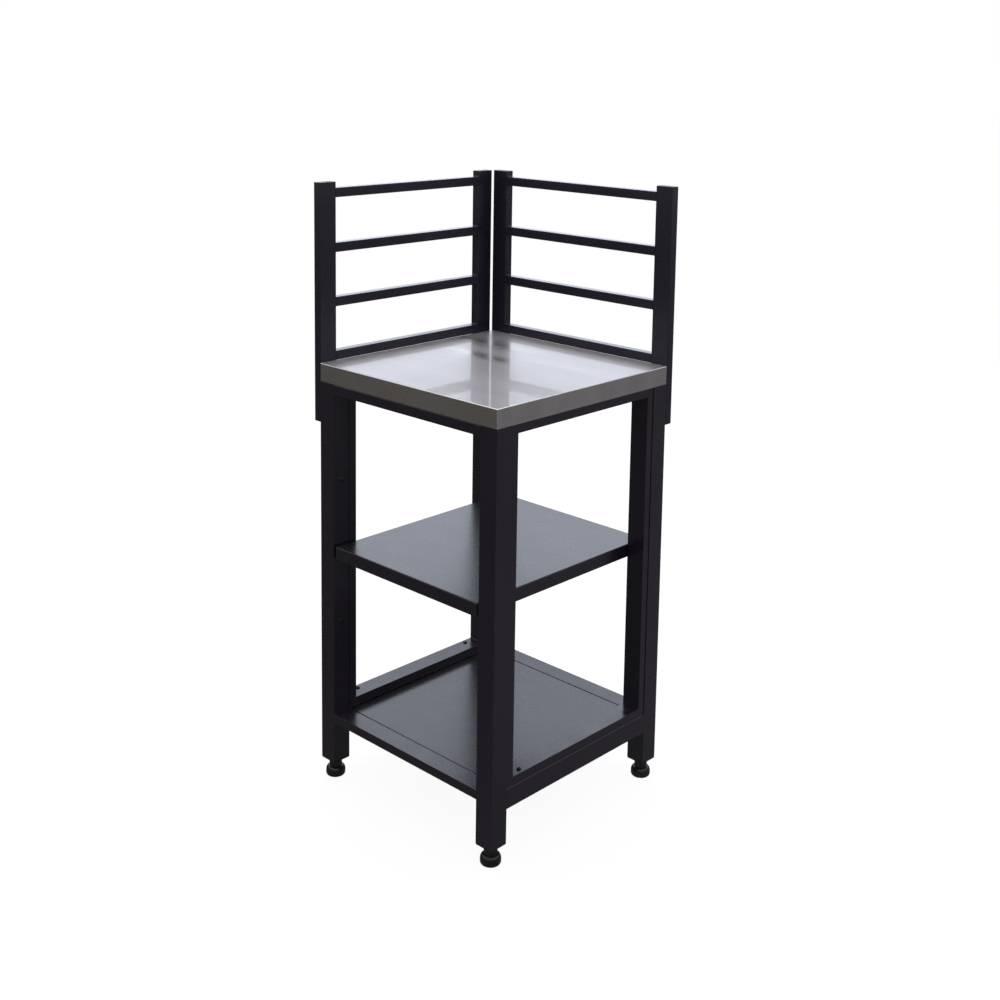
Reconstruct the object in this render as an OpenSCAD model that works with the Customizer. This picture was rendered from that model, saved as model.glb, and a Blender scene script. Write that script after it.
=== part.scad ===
// Outdoor kitchen corner module: a square tube frame with a folded metal worktop, two shelves
// and a ladder rack on each of the two wall sides.
// Left is -X, front is -Y and up is +Z. The origin lies on the floor, under the middle of the
// whole module. The racks stand on the left and back sides, so the open corner is front right.

/* [Worktop] */
// Width of the worktop, left to right
top_w = 485; // [420:5:600]
// Depth of the worktop, front to back
top_d = 485; // [420:5:600]
// Height of the worktop's surface above the floor
top_height = 864.5; // [820:0.5:940]
// Height of the worktop's folded edge
top_edge_h = 37; // [28:0.5:48]
// Thickness of the worktop's sheet
top_sheet = 1.2; // [0.8:0.1:1.6]
// Outside bend radius of the worktop's sheet
top_bend_r = 1.4; // [1.2:0.1:3]
// How far the folded lip reaches past the screws that hold it
lip_past_screw = 7; // [5:0.5:10]
// Width of each stiffening channel under the worktop
brace_w = 70; // [50:1:90]
// Depth of each stiffening channel
brace_h = 24; // [15:1:26]

/* [Legs and rails] */
// Outside width of the square legs
leg_w = 40; // [34:0.5:48]
// Wall thickness of all tubes in the frame
tube_wall = 2; // [1.5:0.1:2.5]
// Outside corner radius of all tubes
tube_r = 1.2; // [0.8:0.1:3]
// Height of the front and back rails under the worktop
top_rail_h = 20; // [16:0.5:26]
// Height of the bottom side rails
side_rail_h = 40; // [30:0.5:48]
// Height of the underside of the bottom side rails above the floor
side_rail_z = 104.5; // [80:0.5:130]

/* [Side rings] */
// Thickness of the flat tubes of the rings inside the two side frames
ring_t = 17; // [14:0.5:22]
// How far the rings are set back from the legs' outer faces, and stand out at the inner ones
ring_inset = 1.5; // [0.5:0.25:2.5]
// Distance of the ring screws from the legs' front or back face
ring_screw_y = 85; // [75:1:110]
// Distance of the lower ring screws from the legs' side face
ring_screw_x = 13; // [11:0.5:20]

/* [Shelves] */
// Height of the middle shelf's surface above the floor
mid_shelf_top = 498.5; // [440:0.5:540]
// Height of the middle shelf's folded edge
mid_shelf_h = 27; // [22:0.5:36]
// Gap between the middle shelf's ends and the legs
shelf_gap = 4.5; // [3:0.25:7]
// How far the middle shelf's edges lie behind the legs' front and back faces
shelf_setback = 0.5; // [0:0.25:4]
// Thickness of the shelves' sheet
shelf_sheet = 1.5; // [1:0.1:2]
// Width of the lips folded in under the shelves
shelf_lip = 14; // [10:1:18]
// Height of the front and back rails of the bottom shelf, and of its folded edge
floor_h = 18; // [15:0.5:24]
// How far the bottom shelf lies below the top of the side rails
floor_drop = 2; // [0:0.25:5]
// Gap round the bottom shelf's panel
floor_gap = 0.6; // [0.4:0.1:1]
// Step between the three heights that the middle shelf can be fixed at
shelf_pitch = 147; // [100:1:170]
// Outside bend radius of both shelves' sheets
shelf_bend_r = 2.2; // [2.1:0.1:3]
// Width of the open slit at the mitred corners of the folded lips
mitre_slit = 1; // [0.6:0.1:2]

/* [Racks] */
// Height of the racks above the worktop
rack_h = 356.5; // [280:0.5:420]
// How far the racks reach below the worktop's surface
rack_below = 120; // [100:1:150]
// Width of the racks' uprights
upright_w = 40; // [30:0.5:46]
// Thickness of the racks' uprights
upright_t = 19; // [19:0.5:25]
// Side of the racks' square rails
rack_rail = 19; // [12:0.5:19]
// How far the lowest rail's underside lies below the worktop's surface
rack_rail_drop = 0.3; // [0:0.1:1]
// Distance of the highest rail below the uprights' tops
rack_top_margin = 12; // [5:0.5:30]
// How far the left rack starts behind the worktop's front edge
left_rack_front = 1; // [0:0.5:6]
// How far the left rack stops short of the worktop's back edge
left_rack_back = 5.5; // [3:0.5:12]
// Thickness of the caps' plates on the uprights' ends
cap_t = 2; // [1.5:0.25:3]
// Depth of the caps' plugs inside the uprights
cap_plug = 9; // [6:0.5:14]
// Distance of the rack bolts from the uprights' lower ends, and from the worktop's edge
rack_bolt_margin = 19; // [15:1:26]

/* [Feet] */
// Height of the gap between the floor and the legs with the feet screwed right in
foot_h = 37; // [32:0.5:45]
// Greatest diameter of a foot's pad
pad_d = 39.5; // [39:0.5:48]
// Diameter of a foot's flat underside
pad_base_d = 36; // [28:0.5:38]
// Height of the rounding round a foot's underside
pad_rim_z = 3.5; // [2:0.5:5]
// Height above the floor at which a foot's dome begins
pad_dome_z = 9.5; // [6:0.5:12]
// Height of a foot's domed pad
pad_h = 16; // [13:0.5:20]
// Diameter of a foot's collar
collar_d = 28; // [22:0.5:32]
// Diameter of a foot's threaded stem
stem_d = 10; // [8:0.5:12]
// Length of the stem above the collar
stem_len = 40; // [34:1:46]
// Depth of the stem inside the pad
stem_seat = 22; // [14:0.5:24]
// Thickness of the leg inserts' plates
insert_t = 3; // [2:0.25:5]
// Depth of the leg inserts inside the legs
insert_depth = 20; // [17:0.5:24]
// Width across the flats of the nuts held in the leg inserts
nut_flats = 17; // [16:0.5:19]
// Height of those nuts
nut_h = 8; // [6:0.5:10]

/* [Fasteners and fits] */
// Diameter of the rack bolts
rack_bolt_d = 8; // [6:0.5:8]
// Diameter of the shelf bolts and of the plugs' stems
shelf_bolt_d = 6; // [5:0.5:7]
// Diameter of the small screws
screw_d = 5; // [4:0.5:6]
// Diameter of the plugs' heads
plug_head_d = 12.5; // [10:0.5:15]
// Height of the plugs' heads
plug_head_h = 3; // [2:0.25:4]
// How far bolts and screws reach past the last wall that they go through
past_wall = 8; // [6:0.5:9]
// Clearance round bolts and screws in their holes
hole_clear = 0.25; // [0.15:0.05:0.4]
// Running clearance round the stems of the feet
stem_clear = 0.05; // [0.03:0.01:0.08]
// Clearance round plugs and inserts inside their tubes
plug_clear = 0.15; // [0.1:0.05:0.3]

/* [Hidden] */

$fn = 48;
// A small overlap that lets a cut run clean through a face
cut = 1;

coat = [0.12, 0.12, 0.13];
steel = [0.76, 0.78, 0.80];
zinc = [0.62, 0.63, 0.64];
plastic = [0.06, 0.06, 0.065];
black_steel = [0.09, 0.09, 0.10];

// Heads of the button screws, from their shank's diameter
function head_r(d) = 0.875 * d;
function head_h(d) = 0.55 * d;
function socket_r(d) = 0.32 * d;

// Outer faces of the frame, with the racks and their bolts outside the left and back ones
rack_out = upright_t + head_h(rack_bolt_d);
left_x = -(top_w - rack_out) / 2;
right_x = left_x + top_w;
front_y = -(top_d + rack_out) / 2;
back_y = front_y + top_d;

// Clear sizes between the legs
inner_w = top_w - 2 * leg_w;
inner_d = top_d - 2 * leg_w;

// Heights
leg_top = top_height - top_edge_h;
leg_bottom = foot_h + insert_t;
side_rail_top = side_rail_z + side_rail_h;
floor_top = side_rail_top - floor_drop;
ring_post_z = side_rail_top + ring_t;
ring_post_len = leg_top - ring_t - ring_post_z;
shelf_bolt_z = mid_shelf_top - mid_shelf_h / 2;
top_lip = leg_w / 2 + lip_past_screw;

// Racks
rack_bottom = top_height - rack_below;
rack_top = top_height + rack_h;
rack_rail_count = 4;
rack_rail_z = top_height - rack_rail_drop;
rack_rail_pitch = (rack_h - rack_top_margin - rack_rail + rack_rail_drop) / (rack_rail_count - 1);
left_rack_y = front_y + left_rack_front;
left_rack_len = top_d - left_rack_front - left_rack_back;
rack_bolt_zs = [rack_bottom + cap_t + rack_bolt_margin, leg_top - rack_bolt_margin];
left_rack_bolt_ys = [left_rack_y + upright_w / 2, left_rack_y + left_rack_len - upright_w / 2];
back_rack_bolt_xs = [left_x + upright_w / 2, right_x - upright_w / 2];

// Rounded rectangle with one corner at the origin
module section(a, b, r) {
    translate([r, 0]) square([a - 2 * r, b]);
    translate([0, r]) square([a, b - 2 * r]);
    for (x = [r, a - r], y = [r, b - r]) translate([x, y]) circle(r);
}

// Section of a rectangular tube, with its wall inside the given size
module tube_section(a, b) {
    difference() {
        section(a, b, tube_r);
        translate([tube_wall, tube_wall])
            section(a - 2 * tube_wall, b - 2 * tube_wall, max(tube_r - tube_wall, 0.4));
    }
}

// Extrusions along +X and +Y of a section drawn across and upwards
module along_x(len) { rotate([90, 0, 90]) linear_extrude(len) children(); }
module along_y(len) { translate([0, len, 0]) rotate([90, 0, 0]) linear_extrude(len) children(); }

// Rectangular tubes with one corner at the origin
module tube_x(len, d, h) { along_x(len) tube_section(d, h); }
module tube_y(len, w, h) { along_y(len) tube_section(w, h); }
module tube_z(len, w, d) { linear_extrude(len) tube_section(w, d); }

// A round hole whose middle lies at the origin, along one axis
module hole_x(d, len) { rotate([0, 90, 0]) cylinder(d = d + 2 * hole_clear, h = len, center = true); }
module hole_y(d, len) { rotate([90, 0, 0]) cylinder(d = d + 2 * hole_clear, h = len, center = true); }
module hole_z(d, len) { cylinder(d = d + 2 * hole_clear, h = len, center = true); }

// Block with rounded long edges, as a folded tray has outside its bends
module bent_block(w, d, h, r) {
    intersection() {
        along_y(d) section(w, h, r);
        along_x(w) section(d, h, r);
    }
}

// Folded tray, open below: a flat top, edges turned down and lips turned in, with mitre slits
module tray(w, d, h, sheet, lip, bend) {
    difference() {
        bent_block(w, d, h, bend);
        translate([sheet, sheet, sheet])
            bent_block(w - 2 * sheet, d - 2 * sheet, h - 2 * sheet, max(bend - sheet, 0.1));
        translate([lip, lip, -cut]) cube([w - 2 * lip, d - 2 * lip, sheet + 2 * cut]);
        for (x = [0, w], y = [0, d])
            translate([x, y, -cut])
                rotate([0, 0, atan2(y > 0 ? -1 : 1, x > 0 ? -1 : 1)])
                    translate([bend * 2, -mitre_slit / 2, 0])
                        cube([lip * sqrt(2), mitre_slit, sheet + 2 * cut]);
    }
}

// Button-headed screw along -Z, with the underside of its head at the origin
module button_screw(d, len) {
    r = head_r(d);
    h = head_h(d);
    difference() {
        union() {
            rotate_extrude() polygon(concat([[0, 0], [r, 0]],
                [for (a = [0:15:90]) [r * (0.5 + 0.5 * cos(a)), h * (0.2 + 0.8 * sin(a))]], [[0, h]]));
            translate([0, 0, -len]) cylinder(d = d, h = len);
        }
        translate([0, 0, h * 0.4]) cylinder(r = socket_r(d), h = h, $fn = 6);
    }
}

// Cap for one end of an upright, its plate at the origin and its plug towards +Z
module upright_cap(w, d) {
    inner = tube_wall + plug_clear;
    linear_extrude(cap_t) section(w, d, tube_r);
    translate([inner, inner, cap_t]) linear_extrude(cap_plug)
        section(w - 2 * inner, d - 2 * inner, max(tube_r - tube_wall, 0.4));
}

// Folded worktop: brushed sheet, with holes in its lips for the screws from below
module worktop() {
    color(steel) difference() {
        translate([left_x, front_y, leg_top])
            tray(top_w, top_d, top_edge_h, top_sheet, top_lip, top_bend_r);
        for (p = worktop_screw_places) translate([p[0], p[1], leg_top]) hole_z(screw_d, 4 * top_sheet);
    }
}
worktop_screw_places = [for (x = [left_x + leg_w / 2, right_x - leg_w / 2],
    y = [front_y + ring_screw_y, back_y - ring_screw_y]) [x, y]];

// Hat-shaped channel that stiffens the worktop from below, along X
module worktop_brace(mid_y) {
    flange = brace_w / 5;
    foot = brace_w - 2 * flange;
    hat = [[0, 0], [flange, 0], [flange, -brace_h], [flange + foot, -brace_h],
        [flange + foot, 0], [brace_w, 0], [brace_w, -shelf_sheet],
        [flange + foot + shelf_sheet, -shelf_sheet],
        [flange + foot + shelf_sheet, -brace_h - shelf_sheet],
        [flange - shelf_sheet, -brace_h - shelf_sheet],
        [flange - shelf_sheet, -shelf_sheet], [0, -shelf_sheet]];
    color(zinc) translate([left_x + top_lip, mid_y - brace_w / 2, top_height - top_sheet])
        along_x(top_w - 2 * top_lip) polygon(hat);
}
module worktop_brace_front() { worktop_brace(front_y + top_d / 3); }
module worktop_brace_back() { worktop_brace(front_y + top_d * 2 / 3); }

// Leg with its outer corner at x, y: holes for the shelf and plugs face the other side
module leg(x, y, inner_x) {
    color(coat) difference() {
        translate([x, y, leg_bottom]) tube_z(leg_top - leg_bottom, leg_w, leg_w);
        for (step = [-1:1])
            translate([inner_x, y + leg_w / 2, shelf_bolt_z + step * shelf_pitch])
                hole_x(shelf_bolt_d, 2 * tube_wall + cut);
        for (z = rack_bolt_zs) {
            for (by = left_rack_bolt_ys) translate([left_x, by, z])
                hole_x(rack_bolt_d, 2 * tube_wall + cut);
            for (bx = back_rack_bolt_xs) translate([bx, back_y, z])
                hole_y(rack_bolt_d, 2 * tube_wall + cut);
        }
    }
}
module leg_front_left() { leg(left_x, front_y, left_x + leg_w); }
module leg_front_right() { leg(right_x - leg_w, front_y, right_x - leg_w); }
module leg_back_left() { leg(left_x, back_y - leg_w, left_x + leg_w); }
module leg_back_right() { leg(right_x - leg_w, back_y - leg_w, right_x - leg_w); }

// Places of the screws that hold the rings down on the side rails
ring_screw_places = [for (x = [left_x + ring_screw_x, right_x - ring_screw_x],
    y = [front_y + ring_screw_y, back_y - ring_screw_y]) [x, y]];

// Bottom side rail between the front and back legs
module side_rail(x) {
    color(coat) difference() {
        translate([x, front_y + leg_w, side_rail_z]) tube_y(inner_d, leg_w, side_rail_h);
        for (p = ring_screw_places) translate([p[0], p[1], side_rail_top])
            hole_z(screw_d, 2 * tube_wall + cut);
    }
}
module side_rail_left() { side_rail(left_x); }
module side_rail_right() { side_rail(right_x - leg_w); }

// Rings inside the side frames: a bottom and a top tube with two posts between them
module ring_bottom(x) {
    color(coat) difference() {
        translate([x, front_y + leg_w, side_rail_top]) tube_y(inner_d, leg_w, ring_t);
        for (p = ring_screw_places) translate([p[0], p[1], side_rail_top])
            hole_z(screw_d, 2 * ring_t + 2 * cut);
    }
}
module ring_top(x) {
    color(coat) difference() {
        translate([x, front_y + leg_w, leg_top - ring_t]) tube_y(inner_d, leg_w, ring_t);
        for (p = worktop_screw_places) translate([p[0], p[1], leg_top])
            hole_z(screw_d, 2 * ring_t + 2 * cut);
    }
}
module ring_post(x, y) {
    color(coat) translate([x, y, ring_post_z]) tube_z(ring_post_len, leg_w, ring_t);
}
left_ring_x = left_x + ring_inset;
right_ring_x = right_x - leg_w - ring_inset;
module ring_left_bottom() { ring_bottom(left_ring_x); }
module ring_left_top() { ring_top(left_ring_x); }
module ring_left_front_post() { ring_post(left_ring_x, front_y + leg_w); }
module ring_left_back_post() { ring_post(left_ring_x, back_y - leg_w - ring_t); }
module ring_right_bottom() { ring_bottom(right_ring_x); }
module ring_right_top() { ring_top(right_ring_x); }
module ring_right_front_post() { ring_post(right_ring_x, front_y + leg_w); }
module ring_right_back_post() { ring_post(right_ring_x, back_y - leg_w - ring_t); }

// Rails under the worktop, between the legs
module top_rail(y) {
    color(coat) translate([left_x + leg_w, y, leg_top - top_rail_h]) tube_x(inner_w, leg_w, top_rail_h);
}
module top_rail_front() { top_rail(front_y); }
module top_rail_back() { top_rail(back_y - leg_w); }

// Screws that hold the bottom shelf's panel between its front and back rails
floor_screw_xs = [left_x + top_w / 4, right_x - top_w / 4];
floor_screw_z = floor_top - floor_h / 2;

// Front and back rails of the bottom shelf, as deep as the legs
module bottom_rail(y) {
    color(coat) difference() {
        translate([left_x + leg_w, y, floor_top - floor_h]) tube_x(inner_w, leg_w, floor_h);
        for (x = floor_screw_xs, face = [front_y + leg_w, back_y - leg_w])
            translate([x, face, floor_screw_z]) hole_y(screw_d, 2 * tube_wall + cut);
    }
}
module bottom_rail_front() { bottom_rail(front_y); }
module bottom_rail_back() { bottom_rail(back_y - leg_w); }

// Panel of the bottom shelf, flush with its front and back rails
module bottom_shelf() {
    w = inner_w - 2 * floor_gap;
    d = inner_d - 2 * floor_gap;
    x = left_x + leg_w + floor_gap;
    y = front_y + leg_w + floor_gap;
    color(coat) difference() {
        translate([x, y, floor_top - floor_h])
            tray(w, d, floor_h, shelf_sheet, shelf_lip, shelf_bend_r);
        for (sx = floor_screw_xs, face = [y, y + d])
            translate([sx, face, floor_screw_z]) hole_y(screw_d, 4 * shelf_sheet);
    }
}

// Middle shelf, a deep folded tray bolted to the legs through spacers
module middle_shelf() {
    w = inner_w - 2 * shelf_gap;
    d = top_d - 2 * shelf_setback;
    x = left_x + leg_w + shelf_gap;
    color(coat) difference() {
        translate([x, front_y + shelf_setback, mid_shelf_top - mid_shelf_h])
            tray(w, d, mid_shelf_h, shelf_sheet, shelf_lip, shelf_bend_r);
        for (bx = [x, x + w], by = shelf_bolt_ys)
            translate([bx, by, shelf_bolt_z]) hole_x(shelf_bolt_d, 4 * shelf_sheet);
    }
}
shelf_bolt_ys = [front_y + leg_w / 2, back_y - leg_w / 2];

// Left rack: uprights against the left legs and rails between them, along Y
module left_upright(y) {
    color(coat) difference() {
        translate([left_x - upright_t, y, rack_bottom + cap_t])
            tube_z(rack_top - rack_bottom - 2 * cap_t, upright_t, upright_w);
        for (by = left_rack_bolt_ys, z = rack_bolt_zs)
            translate([left_x, by, z]) hole_x(rack_bolt_d, 2 * upright_t + cut);
    }
}
module left_rack_rail(i) {
    color(coat) translate([left_x - (upright_t + rack_rail) / 2, left_rack_y + upright_w,
        rack_rail_z + i * rack_rail_pitch])
        tube_y(left_rack_len - 2 * upright_w, rack_rail, rack_rail);
}
module left_rack_front_upright() { left_upright(left_rack_y); }
module left_rack_back_upright() { left_upright(left_rack_y + left_rack_len - upright_w); }
module left_rack_rail_1() { left_rack_rail(0); }
module left_rack_rail_2() { left_rack_rail(1); }
module left_rack_rail_3() { left_rack_rail(2); }
module left_rack_rail_4() { left_rack_rail(3); }

// Back rack: uprights against the back legs and rails between them, along X
module back_upright(x) {
    color(coat) difference() {
        translate([x, back_y, rack_bottom + cap_t])
            tube_z(rack_top - rack_bottom - 2 * cap_t, upright_w, upright_t);
        for (bx = back_rack_bolt_xs, z = rack_bolt_zs)
            translate([bx, back_y, z]) hole_y(rack_bolt_d, 2 * upright_t + cut);
    }
}
module back_rack_rail(i) {
    color(coat) translate([left_x + upright_w, back_y + (upright_t - rack_rail) / 2,
        rack_rail_z + i * rack_rail_pitch])
        tube_x(top_w - 2 * upright_w, rack_rail, rack_rail);
}
module back_rack_left_upright() { back_upright(left_x); }
module back_rack_right_upright() { back_upright(right_x - upright_w); }
module back_rack_rail_1() { back_rack_rail(0); }
module back_rack_rail_2() { back_rack_rail(1); }
module back_rack_rail_3() { back_rack_rail(2); }
module back_rack_rail_4() { back_rack_rail(3); }

// Caps on both ends of each upright
module left_rack_caps() {
    for (y = [left_rack_y, left_rack_y + left_rack_len - upright_w]) {
        color(plastic) translate([left_x - upright_t, y, rack_bottom]) upright_cap(upright_t, upright_w);
        color(plastic) translate([left_x - upright_t, y, rack_top]) mirror([0, 0, 1])
            upright_cap(upright_t, upright_w);
    }
}
module back_rack_caps() {
    for (x = [left_x, right_x - upright_w]) {
        color(plastic) translate([x, back_y, rack_bottom]) upright_cap(upright_w, upright_t);
        color(plastic) translate([x, back_y, rack_top]) mirror([0, 0, 1])
            upright_cap(upright_w, upright_t);
    }
}

// Middle of each leg: front left, front right, back left, back right
leg_mids = [for (y = [front_y + leg_w / 2, back_y - leg_w / 2],
    x = [left_x + leg_w / 2, right_x - leg_w / 2]) [x, y]];

// Insert in each leg's lower end: a plate under the tube and a plug inside it, with a nut pocket
module leg_inserts() {
    inner = tube_wall + plug_clear;
    plug_w = leg_w - 2 * inner;
    for (p = leg_mids) color(plastic) translate([p[0], p[1], foot_h]) difference() {
        union() {
            translate([-leg_w / 2, -leg_w / 2, 0]) linear_extrude(insert_t) section(leg_w, leg_w, tube_r);
            translate([-plug_w / 2, -plug_w / 2, insert_t]) linear_extrude(insert_depth)
                section(plug_w, plug_w, max(tube_r - tube_wall, 0.4));
        }
        translate([0, 0, -cut]) cylinder(d = stem_d + 2 * stem_clear, h = insert_t + insert_depth + 2 * cut);
        translate([0, 0, nut_z]) nut_body(nut_flats + 2 * plug_clear, nut_h + cut);
    }
}
nut_z = insert_t + insert_depth - nut_h;
module nut_body(flats, h) { cylinder(r = flats / sqrt(3), h = h, $fn = 6); }

// Nut held in each insert, which the foot's stem turns in
module foot_nuts() {
    for (p = leg_mids) color(zinc) translate([p[0], p[1], foot_h + nut_z]) difference() {
        nut_body(nut_flats, nut_h);
        translate([0, 0, -cut]) cylinder(d = stem_d + 2 * stem_clear, h = nut_h + 2 * cut);
    }
}

// Foot: a flat domed pad under a collar, and a stem seated in them
stem_floor = foot_h - stem_seat;
pad_outline = concat([[0, 0]],
    [for (a = [0:15:90]) [pad_base_d / 2 + (pad_d - pad_base_d) / 2 * sin(a), pad_rim_z * (1 - cos(a))]],
    [for (a = [0:15:90]) [collar_d / 2 + (pad_d - collar_d) / 2 * cos(a),
        pad_dome_z + (pad_h - pad_dome_z) * sin(a)]],
    [[collar_d / 2, foot_h], [0, foot_h]]);
module foot_pad(i) {
    color(plastic) translate([leg_mids[i][0], leg_mids[i][1], 0]) difference() {
        rotate_extrude() polygon(pad_outline);
        translate([0, 0, stem_floor]) cylinder(d = stem_d + 2 * stem_clear, h = stem_seat + cut);
    }
}
module foot_stem(i) {
    color(zinc) translate([leg_mids[i][0], leg_mids[i][1], stem_floor])
        cylinder(d = stem_d, h = stem_seat + stem_len);
}
module foot_pad_front_left() { foot_pad(0); }
module foot_pad_front_right() { foot_pad(1); }
module foot_pad_back_left() { foot_pad(2); }
module foot_pad_back_right() { foot_pad(3); }
module foot_stem_front_left() { foot_stem(0); }
module foot_stem_front_right() { foot_stem(1); }
module foot_stem_back_left() { foot_stem(2); }
module foot_stem_back_right() { foot_stem(3); }

// Bolts from outside through the uprights into the legs
rack_bolt_len = upright_t + tube_wall + past_wall;
module left_rack_bolts() {
    for (y = left_rack_bolt_ys, z = rack_bolt_zs)
        color(black_steel) translate([left_x - upright_t, y, z]) rotate([0, -90, 0])
            button_screw(rack_bolt_d, rack_bolt_len);
}
module back_rack_bolts() {
    for (x = back_rack_bolt_xs, z = rack_bolt_zs)
        color(black_steel) translate([x, back_y + upright_t, z]) rotate([-90, 0, 0])
            button_screw(rack_bolt_d, rack_bolt_len);
}

// Bolts from inside the middle shelf's edges, through a spacer each, into the legs
shelf_bolt_len = shelf_sheet + shelf_gap + tube_wall + past_wall;
module shelf_bolts() {
    inset = leg_w + shelf_gap + shelf_sheet;
    for (y = shelf_bolt_ys) {
        color(black_steel) translate([left_x + inset, y, shelf_bolt_z]) rotate([0, 90, 0])
            button_screw(shelf_bolt_d, shelf_bolt_len);
        color(black_steel) translate([right_x - inset, y, shelf_bolt_z]) rotate([0, -90, 0])
            button_screw(shelf_bolt_d, shelf_bolt_len);
    }
}
module shelf_spacers() {
    for (x = [left_x + leg_w, right_x - leg_w - shelf_gap], y = shelf_bolt_ys)
        color(black_steel) translate([x, y, shelf_bolt_z]) rotate([0, 90, 0]) difference() {
            cylinder(d = 2 * shelf_bolt_d, h = shelf_gap);
            translate([0, 0, shelf_gap / 2]) hole_z(shelf_bolt_d, shelf_gap + 2 * cut);
        }
}

// Plugs in the holes for the shelf heights that aren't used
module plug() {
    rotate_extrude() polygon(concat([[0, 0]],
        [for (a = [0:15:90]) [plug_head_d / 2 * cos(a), plug_head_h * sin(a)]]));
    translate([0, 0, -tube_wall - past_wall]) cylinder(d = shelf_bolt_d, h = tube_wall + past_wall);
}
module hole_plugs() {
    for (y = shelf_bolt_ys, step = [-1, 1]) {
        color(plastic) translate([left_x + leg_w, y, shelf_bolt_z + step * shelf_pitch])
            rotate([0, 90, 0]) plug();
        color(plastic) translate([right_x - leg_w, y, shelf_bolt_z + step * shelf_pitch])
            rotate([0, -90, 0]) plug();
    }
}

// Screws down through the rings into the side rails
module ring_screws() {
    for (p = ring_screw_places)
        color(black_steel) translate([p[0], p[1], side_rail_top + ring_t])
            button_screw(screw_d, ring_t + tube_wall + past_wall);
}

// Screws up through the rings into the worktop's lips
module worktop_screws() {
    for (p = worktop_screw_places)
        color(zinc) translate([p[0], p[1], leg_top - ring_t]) rotate([180, 0, 0])
            button_screw(screw_d, ring_t + top_sheet + past_wall);
}

// Screws from inside the bottom shelf's edges into its front and back rails
module floor_screws() {
    inset = leg_w + floor_gap + shelf_sheet;
    len = shelf_sheet + floor_gap + tube_wall + past_wall;
    for (x = floor_screw_xs) {
        color(zinc) translate([x, front_y + inset, floor_screw_z]) rotate([-90, 0, 0])
            button_screw(screw_d, len);
        color(zinc) translate([x, back_y - inset, floor_screw_z]) rotate([90, 0, 0])
            button_screw(screw_d, len);
    }
}

worktop();
worktop_brace_front();
worktop_brace_back();
leg_front_left();
leg_front_right();
leg_back_left();
leg_back_right();
side_rail_left();
side_rail_right();
ring_left_bottom();
ring_left_top();
ring_left_front_post();
ring_left_back_post();
ring_right_bottom();
ring_right_top();
ring_right_front_post();
ring_right_back_post();
top_rail_front();
top_rail_back();
bottom_rail_front();
bottom_rail_back();
middle_shelf();
bottom_shelf();
left_rack_front_upright();
left_rack_back_upright();
left_rack_rail_1();
left_rack_rail_2();
left_rack_rail_3();
left_rack_rail_4();
back_rack_left_upright();
back_rack_right_upright();
back_rack_rail_1();
back_rack_rail_2();
back_rack_rail_3();
back_rack_rail_4();
left_rack_caps();
back_rack_caps();
leg_inserts();
foot_nuts();
foot_pad_front_left();
foot_pad_front_right();
foot_pad_back_left();
foot_pad_back_right();
foot_stem_front_left();
foot_stem_front_right();
foot_stem_back_left();
foot_stem_back_right();
left_rack_bolts();
back_rack_bolts();
shelf_bolts();
shelf_spacers();
hole_plugs();
ring_screws();
worktop_screws();
floor_screws();
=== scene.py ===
import math

import bmesh
import bpy
from mathutils import Matrix, Vector


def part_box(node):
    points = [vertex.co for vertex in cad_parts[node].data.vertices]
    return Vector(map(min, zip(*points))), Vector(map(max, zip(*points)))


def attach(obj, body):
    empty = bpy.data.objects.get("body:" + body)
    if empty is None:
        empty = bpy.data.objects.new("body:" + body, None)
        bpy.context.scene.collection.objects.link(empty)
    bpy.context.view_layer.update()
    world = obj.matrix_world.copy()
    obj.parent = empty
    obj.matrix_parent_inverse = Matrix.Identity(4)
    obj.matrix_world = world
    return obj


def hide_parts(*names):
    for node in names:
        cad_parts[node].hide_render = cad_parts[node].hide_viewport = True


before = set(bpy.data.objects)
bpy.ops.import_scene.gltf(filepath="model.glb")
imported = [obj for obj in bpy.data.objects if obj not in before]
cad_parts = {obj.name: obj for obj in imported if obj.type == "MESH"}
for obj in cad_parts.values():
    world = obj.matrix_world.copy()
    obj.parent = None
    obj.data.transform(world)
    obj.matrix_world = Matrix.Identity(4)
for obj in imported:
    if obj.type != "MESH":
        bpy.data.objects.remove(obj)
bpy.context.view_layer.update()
scene = bpy.context.scene
print("frame loaded:", len(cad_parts), "nodes")


# nodes that the materials share
def newMaterial(name):
    material = bpy.data.materials.new(name)
    material.use_nodes = True
    tree = material.node_tree
    tree.nodes.clear()
    output = tree.nodes.new("ShaderNodeOutputMaterial")
    shader = tree.nodes.new("ShaderNodeBsdfPrincipled")
    tree.links.new(shader.outputs[0], output.inputs["Surface"])
    return material, tree, shader


def objectCoords(tree, scale=(1, 1, 1), shift=(0, 0, 0)):
    coords = tree.nodes.new("ShaderNodeTexCoord")
    mapping = tree.nodes.new("ShaderNodeMapping")
    mapping.inputs["Scale"].default_value = scale
    mapping.inputs["Location"].default_value = shift
    tree.links.new(coords.outputs["Object"], mapping.inputs["Vector"])
    return mapping.outputs[0]


def noise(tree, vector, scale, detail=3.0, roughness=0.55):
    node = tree.nodes.new("ShaderNodeTexNoise")
    node.inputs["Scale"].default_value = scale
    node.inputs["Detail"].default_value = detail
    node.inputs["Roughness"].default_value = roughness
    tree.links.new(vector, node.inputs["Vector"])
    return node.outputs[0]


def spread(tree, value, low, high, start=0.3, end=0.7):
    node = tree.nodes.new("ShaderNodeMapRange")
    node.inputs["From Min"].default_value = start
    node.inputs["From Max"].default_value = end
    node.inputs["To Min"].default_value = low
    node.inputs["To Max"].default_value = high
    tree.links.new(value, node.inputs["Value"])
    return node.outputs[0]


def maths(tree, operation, first, second):
    node = tree.nodes.new("ShaderNodeMath")
    node.operation = operation
    tree.links.new(first, node.inputs[0])
    tree.links.new(second, node.inputs[1])
    return node.outputs[0]


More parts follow.
